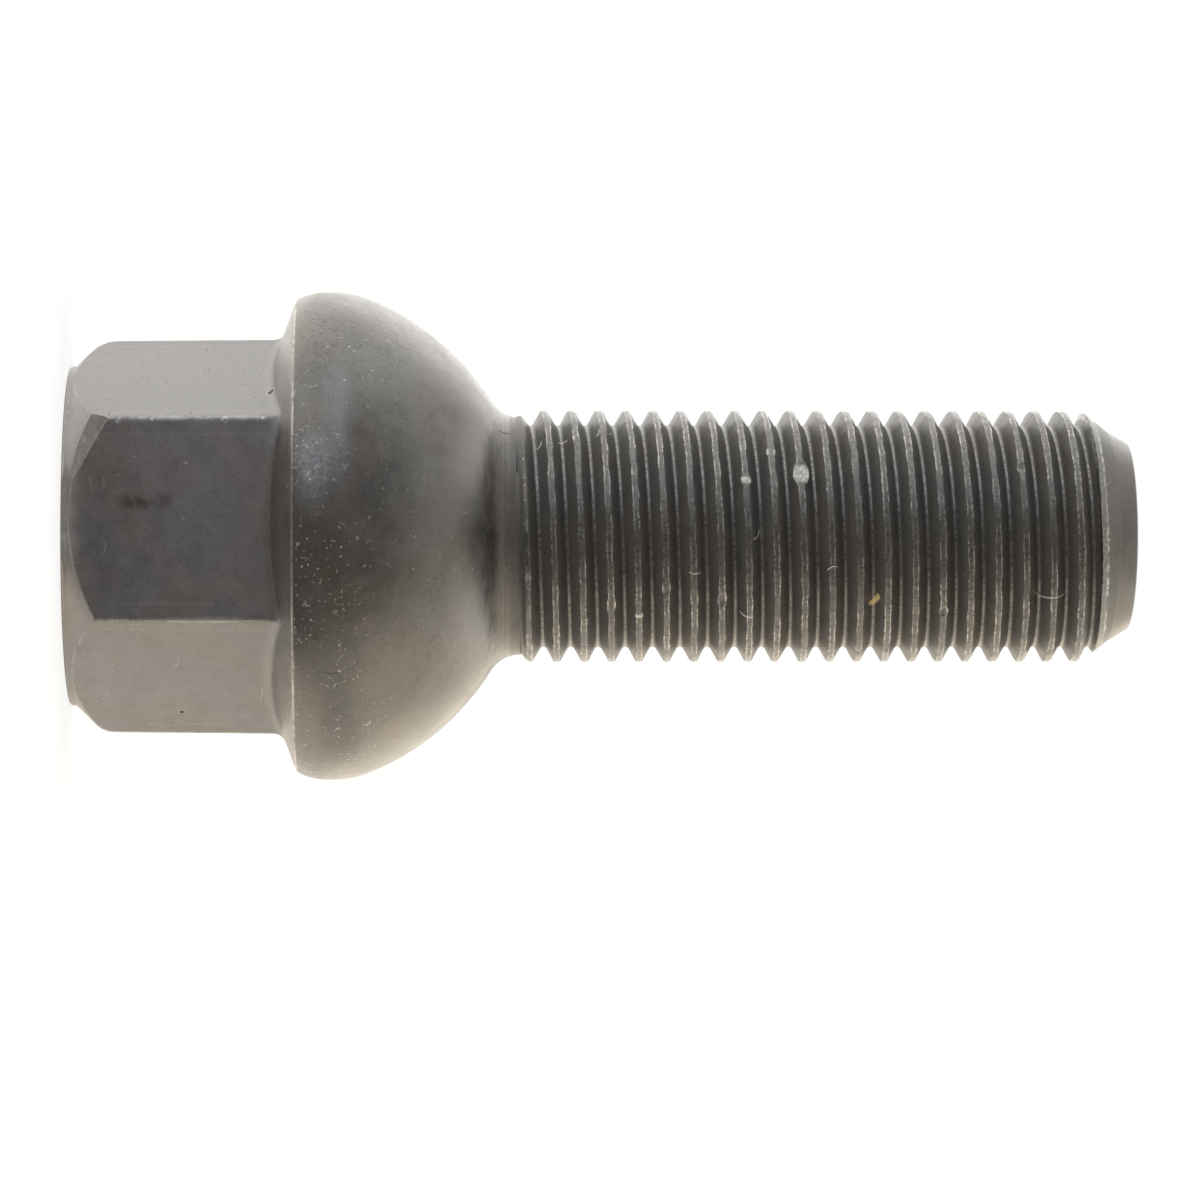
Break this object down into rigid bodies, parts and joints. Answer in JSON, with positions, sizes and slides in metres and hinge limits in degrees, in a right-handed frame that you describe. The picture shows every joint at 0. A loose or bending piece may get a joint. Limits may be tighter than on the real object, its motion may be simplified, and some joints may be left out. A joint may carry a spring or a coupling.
{
  "type": "wheel bolt",
  "caption": "Ball-seat wheel bolt: hexagon head flaring into a collar, spherical seat, short neck and a fine right-hand thread that clamps a car wheel to its hub.",
  "frame": {"origin": "middle of the head's flat end face, on which the bolt stands", "axes": "+Z along the bolt's axis from the head to the point; two of the six flats face along +Y and -Y"},
  "size_m": [0.0268, 0.0268, 0.0581],
  "materials": {
    "black_steel": "black phosphated steel, satin, with bright wear on edges and thread crests"
  },
  "bodies": {
    "root": {"wheel_bolt": "black_steel"}
  },
  "joints": []
}
